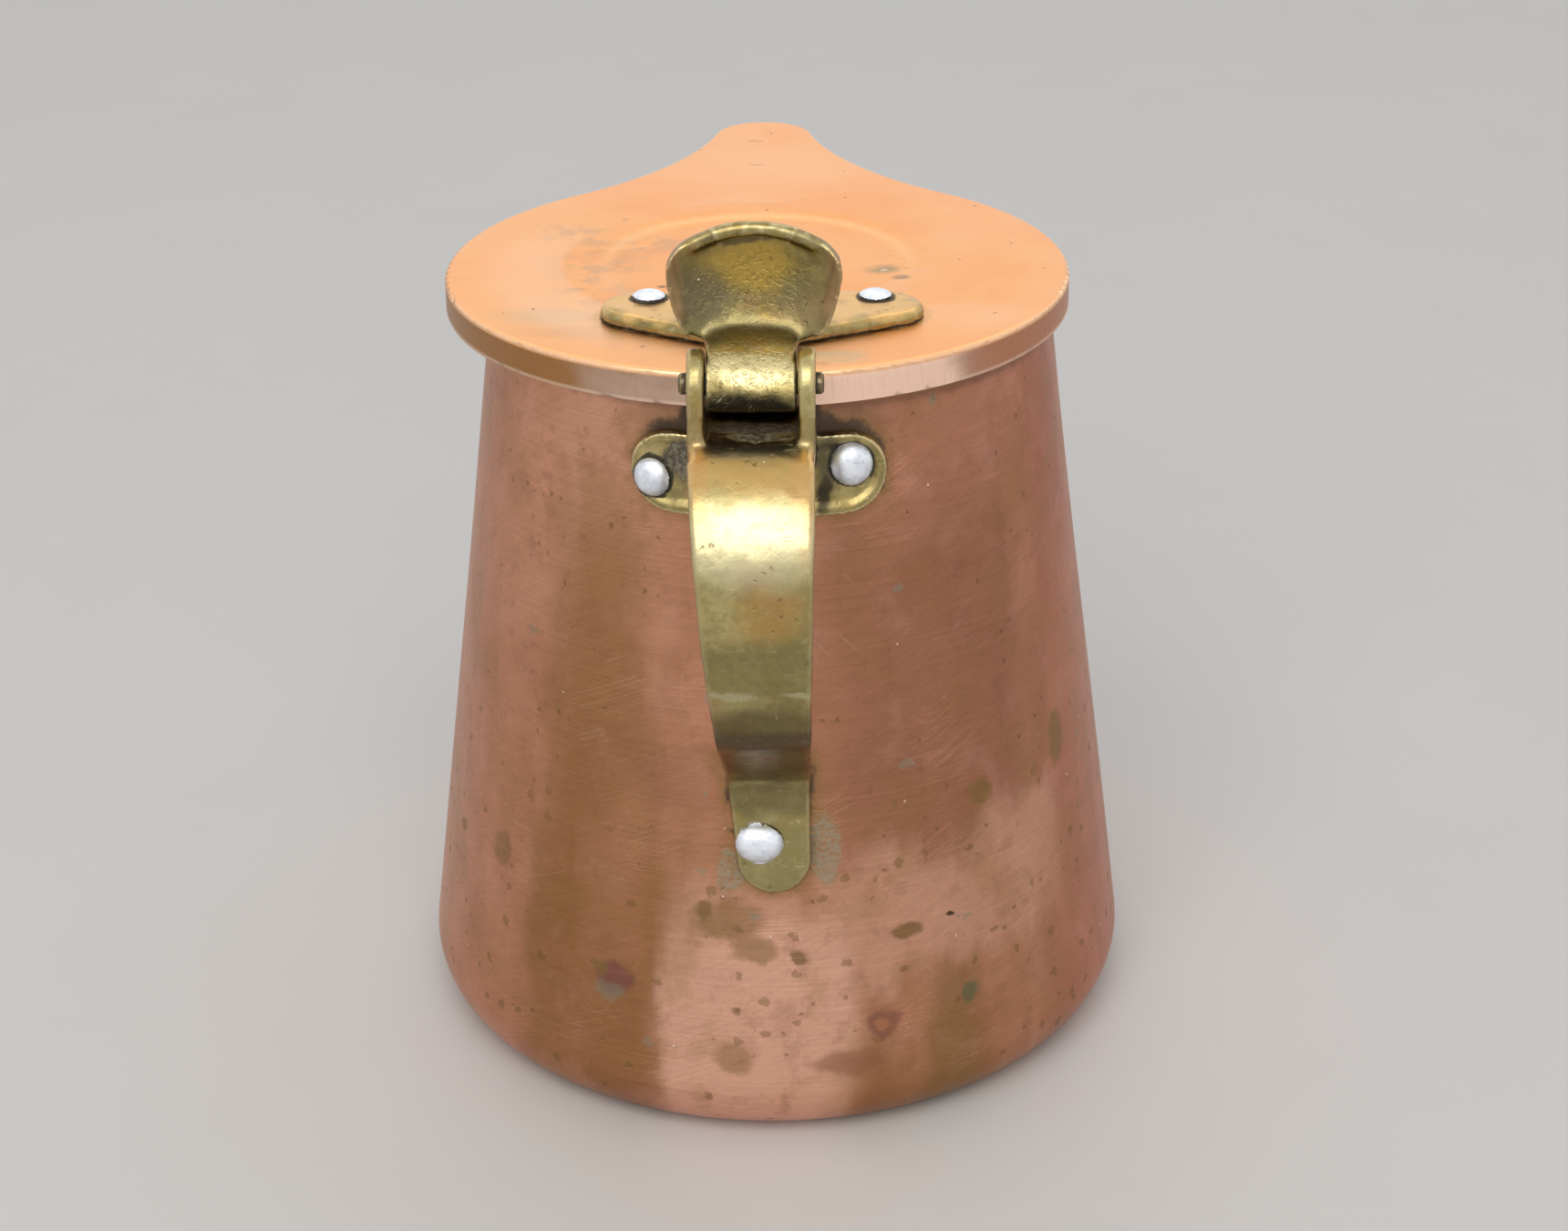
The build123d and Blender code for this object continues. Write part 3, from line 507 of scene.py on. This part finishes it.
leverTintsAndPaintedHighlight = (
    ((-2.2, -47.2, 142.8), (6.5, 5, 3.8), (0.50, 0.33, 0.07), 0.8),
    ((-9.5, -47.5, 138.5), (5, 5, 4.5), (0.17, 0.145, 0.085), 0.7),
    ((6.0, -47.5, 137.5), (5, 5, 4), (0.24, 0.20, 0.10), 0.5),
    # painted highlight: a pale gold band across the neck
    ((-2.0, -56.5, 131.4), (7, 7, 2.8), (0.76, 0.65, 0.34), 0.7),
)
leverMarksAndPaintedLight = (
    # painted reflection: the tops of both wings paler orange
    ((-18.0, -24.0, 130.0), (12, 12, 1.7), (0.84, 0.51, 0.19), 0.95),
    ((15.0, -24.0, 130.0), (12, 12, 1.7), (0.84, 0.51, 0.19), 0.95),
    ((-14.0, -50.0, 141.0), (2.4, 7, 8), (0.36, 0.22, 0.11), 0.8),
    ((11.0, -50.0, 140.5), (2.4, 7, 8), (0.36, 0.22, 0.11), 0.8),
    # painted shade: the crease between the paddle and the neck darker
    ((-2.0, -50.0, 133.4), (11, 4.5, 2.2), (0.20, 0.165, 0.075), 0.85),
    # painted shadow under the top lip
    ((-1.5, -48.6, 146.9), (7.5, 2.4, 0.8), (0.10, 0.075, 0.04), 0.75),
    # painted shade: the lower front of the knuckle near black
    ((-2.0, -59.0, 124.9), (9, 6, 3.4), (0.012, 0.010, 0.008), 0.97),
)
leverPits = (((-2.0, -55.5, 130.5), (7, 7, 4)), ((-1.5, -46.5, 140.0), (9, 6, 5)))
earAsh = (((-12.4, -46.0, 112.8), (3.2, 5, 2.8)),)
earTintsAndPaintedShade = (
    ((-17.5, -44.0, 112.6), (2.2, 5, 2.4), (0.62, 0.50, 0.24), 0.6),
    # painted shade: dark, then near black, in the gap between the strap and the right ear
    ((8.8, -46.0, 112.6), (2.2, 5, 4), (0.09, 0.08, 0.05), 0.8),
    ((8.4, -46.0, 107.0), (1.3, 5, 3), (0.03, 0.025, 0.02), 0.9),
)
brassTones = {
    "strap": ((0.52, 0.43, 0.19), (0.34, 0.27, 0.11), 0.3),
    "lever": ((0.36, 0.285, 0.105), (0.21, 0.165, 0.065), 0.6),
    "ears": ((0.46, 0.36, 0.15), (0.28, 0.22, 0.09), 0.6),
    "pin": ((0.20, 0.15, 0.08), (0.10, 0.08, 0.045), 0.2),
}
finishes = {
    "copper": vesselCopper(),
    "lid": lidCopper(),
    "strap": agedBrass("strapBrass", *brassTones["strap"], strapTintsAndPaintedLight, strapPaintedLightAndStreaks, ashen=strapAsh),
    "lever": agedBrass("leverBrass", *brassTones["lever"], leverTintsAndPaintedHighlight, leverMarksAndPaintedLight, leverPits),
    "ears": agedBrass("earBrass", *brassTones["ears"], over=earTintsAndPaintedShade, ashen=earAsh),
    "pin": agedBrass("pinBrass", *brassTones["pin"]),
    "rivet": rivetAluminium(),
    "tin": dullTin(),
}
print("finishes made")


def fade(value, low, high):
    share = min(max((value - low) / (high - low), 0.0), 1.0)
    return share * share * (3 - 2 * share)


def piece(name, mesh, node, materials):
    made = bpy.data.objects.new(name, mesh)
    bpy.context.scene.collection.objects.link(made)
    for material in materials:
        mesh.materials.append(material)
    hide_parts(node)
    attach(made, frame["nodes"][node]["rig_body"])
    return made


def mergedCopy(node):
    shape = bmesh.new()
    shape.from_mesh(frame["nodes"][node].data)
    bmesh.ops.remove_doubles(shape, verts=shape.verts, dist=0.002 * mm)
    return shape


# how near each point lies to the neighbours, from 0 at reach to 1 where they touch
def markNear(mesh, neighbours, reach):
    values = [0.0] * len(mesh.vertices)
    for node in neighbours:
        other = mergedCopy(node)
        tree = BVHTree.FromBMesh(other)
        for index, point in enumerate(mesh.vertices):
            found = tree.find_nearest(point.co, reach)
            if found[0]:
                values[index] = max(values[index], 1 - found[3] / reach)
        other.free()
    mesh.attributes.new("near", "FLOAT", "POINT").data.foreach_set("value", values)


# how the surface bends at each point: edges stand out and hollows lie in
def markBend(mesh, scale, rounds=2):
    shape = bmesh.new()
    shape.from_mesh(mesh)
    bend, around = [], []
    for point in shape.verts:
        others = [edge.other_vert(point) for edge in point.link_edges]
        spokes = [(other.co - point.co).normalized() for other in others]
        bend.append(-sum(spoke.dot(point.normal) for spoke in spokes) / max(len(spokes), 1))
        around.append([other.index for other in others])
    for _ in range(rounds):
        bend = [(bend[i] + sum(bend[j] for j in near)) / (1 + len(near)) for i, near in enumerate(around)]
    shape.free()
    for name, sign in (("edge", 1), ("hollow", -1)):
        values = [min(max(sign * value * scale, 0.0), 1.0) for value in bend]
        mesh.attributes.new(name, "FLOAT", "POINT").data.foreach_set("value", values)


# smooth_vert moves nothing along an axis that it isn't given
allAxes = {"use_axis_x": True, "use_axis_y": True, "use_axis_z": True}


def easePoints(shape, points, rounds):
    for _ in range(rounds):
        bmesh.ops.smooth_vert(shape, verts=points, factor=0.5, **allAxes)


# cast pieces: the solid is remeshed finely, its edges are eased and its faces get a slight unevenness
# grain, dent and reach are in mm, wave in waves per mm, ease and the last number of melt in rounds
def castPiece(name, node, materials, given, neighbours, shaper=None):
    shape = mergedCopy(node)
    rough = bpy.data.meshes.new(name)
    shape.to_mesh(rough)
    shape.free()
    holder = bpy.data.objects.new(name + "Rough", rough)
    bpy.context.scene.collection.objects.link(holder)
    remesh = holder.modifiers.new("remesh", "REMESH")
    remesh.mode = "VOXEL"
    remesh.voxel_size = given["grain"] * mm
    remesh.use_smooth_shade = True
    bpy.context.view_layer.update()
    whole = holder.evaluated_get(bpy.context.evaluated_depsgraph_get())
    mesh = bpy.data.meshes.new_from_object(whole)
    bpy.data.objects.remove(holder)
    shape = bmesh.new()
    shape.from_mesh(mesh)
    easePoints(shape, shape.verts, given["ease"])
    for centre, reach, rounds in given.get("melt", ()):
        inside = [point for point in shape.verts if (point.co / mm - Vector(centre)).length < reach]
        easePoints(shape, inside, rounds)
    shape.normal_update()
    for point in shape.verts:
        lift = noise.noise(point.co * (given["wave"] / mm)) * given["dent"] * mm
        lift += noise.noise(point.co * (given["wave"] * 4 / mm)) * given["dent"] * 0.3 * mm
        point.co += point.normal * lift
    if shaper:
        shaper(shape)
    shape.to_mesh(mesh)
    shape.free()
    for face in mesh.polygons:
        face.use_smooth = True
    markNear(mesh, neighbours, given["reach"] * mm)
    markBend(mesh, given["bend"])
    return piece(name, mesh, node, materials)


handleSet = {
    "grain": 0.36, "ease": 2, "wave": 0.12, "dent": 0.14, "reach": 2.2, "bend": 9.0,
    "melt": (((-9.8, -60.0, 121.0), 3.6, 14), ((5.8, -60.0, 121.0), 3.6, 14)),
}
castPiece("strapHandle", "handle", [finishes["strap"]], handleSet, ["body", "handle_bracket"])
print("handle made")

leverSet = {
    "grain": 0.3, "ease": 2, "wave": 0.2, "dent": 0.12, "reach": 1.2, "bend": 9.0,
    "melt": (
        ((-2.0, -50.0, 133.8), 9.0, 30),
        ((-2.0, -49.0, 134.3), 6.0, 40),
        ((-10.0, -49.0, 146.0), 3.5, 12),
        ((7.0, -49.0, 146.0), 3.5, 12),
    ),
    "middle": -1.55, "low": 134.0, "high": 145.0, "narrow": 10.6, "broad": 12.4, "rim": 0.35,
}


# the sides of the thumb piece stand up in low rims round its hollow
def raiseRims(shape):
    given = leverSet
    for point in shape.verts:
        place = point.co / mm
        share = fade(place.z, given["low"], given["high"])
        half = given["narrow"] + (given["broad"] - given["narrow"]) * share
        front = fade(-point.normal.y, 0.3, 0.8) * fade(place.z, given["low"], given["low"] + 3)
        side = fade(abs(place.x - given["middle"]), half - 1.8, half - 0.6)
        point.co.y -= given["rim"] * mm * front * side


levered = ["lid", "handle", "lid_rivet_left", "lid_rivet_right"]
castPiece("thumbPiece", "thumb_lever", [finishes["lever"]], leverSet, levered, raiseRims)
print("thumb piece made")

bracketSet = {
    "grain": 0.25, "ease": 2, "wave": 0.2, "dent": 0.12, "reach": 0.9, "bend": 9.0,
    "middle": (-1.35, 110.5), "half": 12.9, "radius": 6.0, "rim": 0.5,
}


# a raised border runs round the ears
def raiseBorder(shape):
    given = bracketSet
    for point in shape.verts:
        across = max(abs(point.co.x / mm - given["middle"][0]) - given["half"], 0)
        depth = given["radius"] - hypot(across, point.co.z / mm - given["middle"][1])
        point.co.y -= given["rim"] * mm * fade(-point.normal.y, 0.3, 0.7) * (1 - fade(depth, 0.9, 2.2))


eared = ["handle", "bracket_rivet_left", "bracket_rivet_right"]
castPiece("earedBracket", "handle_bracket", [finishes["ears"]], bracketSet, eared, raiseBorder)
pinSet = {"grain": 0.15, "ease": 1, "wave": 0.5, "dent": 0.04, "reach": 0.8, "bend": 9.0}
castPiece("hingePin", "hinge_pin", [finishes["pin"]], pinSet, ["handle", "thumb_lever"])
print("bracket and pin made")

rivetSet = {"grain": 0.14, "ease": 3, "wave": 0.3, "dent": 0.08, "reach": 0.7, "bend": 9.0}


# hammered heads are flatter on top and rounder at the shoulder than a plain dome
def flattenHead(given):
    axis = Vector(given["axis"]).normalized()

    def shaper(shape):
        top = max(point.co.dot(axis) for point in shape.verts)
        seat = top - given["rise"] * mm
        crown = [point for point in shape.verts if point.co.dot(axis) > seat]
        middle = sum((point.co for point in crown), Vector()) / len(crown)
        for point in crown:
            offset = point.co - middle
            away = (offset - axis * offset.dot(axis)).length / (given["head"] * mm)
            if away < 1:
                dome = given["rise"] * mm * (1 - away**3.2) ** 0.6
                point.co += axis * (max(seat + dome, point.co.dot(axis)) - point.co.dot(axis))
            point.co.z += (middle.z - point.co.z) * given["squash"]

    return shaper


for node, seat, axis, head, rise, squash in (
    ("lid_rivet_left", "thumb_lever", (0, 0, 1), 2.65, 1.1, 0.0),
    ("lid_rivet_right", "thumb_lever", (0, 0, 1), 2.65, 1.1, 0.0),
    ("bracket_rivet_left", "handle_bracket", (-0.34, -0.94, 0.13), 3.05, 1.9, 0.0),
    ("bracket_rivet_right", "handle_bracket", (0.25, -0.96, 0.13), 3.3, 1.9, 0.0),
    ("foot_rivet", "handle", (0, -0.99, 0.13), 3.8, 1.9, 0.17),
):
    shaper = flattenHead({"axis": axis, "head": head, "rise": rise, "squash": squash})
    castPiece(node + "_head", node, [finishes["rivet"]], rivetSet, [seat], shaper)
print("rivets made")


# sheet pieces: the solid is cut into a fine grid, so that both faces of the sheet bend together
def cutAcross(shape, axis, low, high, pitch):
    normal = Vector([float(axis == other) for other in range(3)])
    for count in range(1, int((high - low) / pitch) + 1):
        everything = shape.verts[:] + shape.edges[:] + shape.faces[:]
        place = normal * (low + count * pitch)
        bmesh.ops.bisect_plane(shape, geom=everything, plane_co=place, plane_no=normal, dist=0.001 * mm)


def sheetPiece(name, node, materials, shape, inner, neighbours, reach):
    mesh = bpy.data.meshes.new(name)
    shape.normal_update()
    for face in shape.faces:
        face.smooth = True
        face.material_index = int(inner(face.calc_center_median(), face.normal))
    shape.to_mesh(mesh)
    shape.free()
    mesh.set_sharp_from_angle(angle=radians(32))
    markNear(mesh, neighbours, reach * mm)
    return piece(name, mesh, node, materials)


vesselSet = {
    "pitch": 3.0, "dent": 0.3, "around": 2.3, "along": 0.018, "top": 119.0, "bottom": 10.0,
    "foot": 61.1, "taper": (61.1 - 44.1) / 125.8,  # the wall's radius below, and its loss per mm of height
    "edge": 0.6, "rim": 0.8,  # the tin begins this far inside the wall and below the rim
}


def vesselDent(place, given):
    out = Vector((place.x, place.y, 0))
    if out.length < 10 * mm:
        return Vector()
    out.normalize()
    height = place.z / mm
    keep = fade(height, given["bottom"], given["bottom"] + 15)
    keep *= 1 - fade(height, given["top"] - 15, given["top"])
    spot = Vector((out.x * given["around"], out.y * given["around"], height * given["along"]))
    return out * (noise.noise(spot) * given["dent"] * keep * mm)


def dentedCopy(node, given):
    shape = mergedCopy(node)
    low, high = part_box(node)
    cutAcross(shape, 2, low.z, high.z, given["pitch"] * mm)
    for point in shape.verts:
        point.co += vesselDent(point.co, given)
    return shape


def makeVessel(given):
    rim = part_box("body")[1].z - given["rim"] * mm

    def inner(middle, normal):
        wall = (given["foot"] - given["edge"]) * mm - given["taper"] * middle.z
        inwards = normal.dot(Vector((-middle.x, -middle.y, 20 * mm))) > 0.5 * mm
        return inwards and hypot(middle.x, middle.y) < wall and middle.z < rim

    materials = [finishes["copper"], finishes["tin"]]
    neighbours = ["handle_bracket", "handle", "lid"]
    sheetPiece("vessel", "body", materials, dentedCopy("body", given), inner, neighbours, 3.5)


makeVessel(vesselSet)
print("vessel made")


def makeSpout(given):
    def inner(middle, normal):
        return normal.y < -0.1 or (normal.x * middle.x < 0 and abs(normal.z) < 0.9)

    materials = [finishes["copper"], finishes["tin"]]
    shape = dentedCopy("spout", given)
    sheetPiece("pouringBeak", "spout", materials, shape, inner, ["body", "lid"], 2.5)


makeSpout(vesselSet)
print("spout made")

lidSet = {
    "pitch": 2.4, "wave": 0.035, "dent": 0.22, "wobble": 0.18, "shift": -2.0,
    "pressed": 24.3, "ring": 2.4, "stamped": 0.5,  # radius, rise and depth of the solid's dish
    "dish": 27.4, "slope": 4.4, "depth": 0.55, "behind": 1.4,  # the dish as photographed, off the middle
    "sheet": 1.6,  # everything lower than this under the top is skirt
    "band": 0.9, "hem": 1.2, "sway": 0.06,  # the skirt is cut in bands up to the hem, and sways a little
    "calm": 46,  # the waves of the top die out near this radius
}


def makeLid(given):
    shape = mergedCopy("lid")
    low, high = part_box("lid")
    for axis in (0, 1):
        cutAcross(shape, axis, low[axis], high[axis], given["pitch"] * mm)
    cutAcross(shape, 2, low.z, high.z - given["hem"] * mm, given["band"] * mm)
    top = high.z - given["sheet"] * mm
    middle = Vector((given["shift"] * mm, 0, 0))
    for point in shape.verts:
        place = point.co.copy()
        reach = hypot(place.x - middle.x, place.y) / mm
        if place.z > top:
            fromMiddle = hypot(place.x - middle.x, place.y - given["behind"] * mm) / mm
            pressed = 1 - fade(fromMiddle, given["dish"] - given["slope"], given["dish"])
            wasPressed = 1 - fade(reach, given["pressed"] - given["ring"], given["pressed"])
            still = fade(place.z, top, top + 0.5 * mm)
            wave = noise.noise(place * (given["wave"] / mm)) * given["dent"]
            wave *= fade(given["calm"] - reach, 0, 8)
            dish = wasPressed * given["stamped"] - pressed * given["depth"]
            point.co.z += still * mm * (dish + wave)
        else:
            out = Vector((place.x, place.y, 0)).normalized()
            hanging = fade(top - place.z, 0, 3 * mm)
            point.co += out * (noise.noise(place * (given["sway"] / mm)) * given["wobble"] * hanging * mm)

    def inner(place, normal):
        return normal.z < -0.5 and place.z > low.z + 1 * mm or (
            place.z < top and normal.z > -0.5 and normal.x * (place.x - middle.x) + normal.y * place.y < 0
        )

    materials = [finishes["lid"], finishes["tin"]]
    sheetPiece("beakedLid", "lid", materials, shape, inner, ["thumb_lever"], 2.6)


makeLid(lidSet)
print("lid made")


# floor, world and lamps
def makeStage():
    f = Finish("paleFloor")
    shade = f.mix(f.mottle(60.0), (0.66, 0.645, 0.62), (0.70, 0.685, 0.66))
    f.ended(f.node("ShaderNodeBsdfPrincipled", values={"Base Color": shade, "Roughness": 0.55}))
    shape = bmesh.new()
    bmesh.ops.create_grid(shape, x_segments=4, y_segments=4, size=4)
    mesh = bpy.data.meshes.new("floor")
    shape.to_mesh(mesh)
    shape.free()
    mesh.materials.append(f.material)
    floor = bpy.data.objects.new("floor", mesh)
    bpy.context.scene.collection.objects.link(floor)


lampSet = {
    "key": {"from": (-0.12, -0.92, 0.98), "size": (1.1, 1.0), "power": 8.5},
    "sky": {"from": (0.1, 0.85, 1.25), "size": (1.9, 0.7), "power": 2.5},
}


def makeLamps(given):
    for name, lamp in given.items():
        light = bpy.data.lights.new(name, "AREA")
        light.shape = "RECTANGLE"
        light.size, light.size_y = lamp["size"]
        light.energy = lamp["power"]
        stand = bpy.data.objects.new(name, light)
        place = Vector(lamp["from"])
        aim = Vector((0, 0, 0.08)) - place
        stand.matrix_world = Matrix.Translation(place) @ aim.to_track_quat("-Z", "Y").to_matrix().to_4x4()
        bpy.context.scene.collection.objects.link(stand)


worldSet = {"tint": (0.95, 0.95, 0.96, 1), "light": 0.5, "backdrop": 1.0}


# the backdrop is what the camera and the polished metal see, the light is what falls on the rest
def makeWorld(given):
    world = bpy.data.worlds.new("studio")
    bpy.context.scene.world = world
    sky = Nodes(world)
    seen = sky.node("ShaderNodeLightPath", output="Is Camera Ray")
    mirrored = sky.node("ShaderNodeLightPath", output="Is Glossy Ray")
    light, backdrop = (
        sky.node("ShaderNodeBackground", values={"Color": given["tint"], "Strength": given[name]})
        for name in ("light", "backdrop")
    )
    chosen = sky.node("ShaderNodeMixShader", values={0: seen | mirrored, 1: light, 2: backdrop})
    sky.node("ShaderNodeOutputWorld", values={"Surface": chosen}, output=None)


makeStage()
makeLamps(lampSet)
makeWorld(worldSet)
print("stage lit")
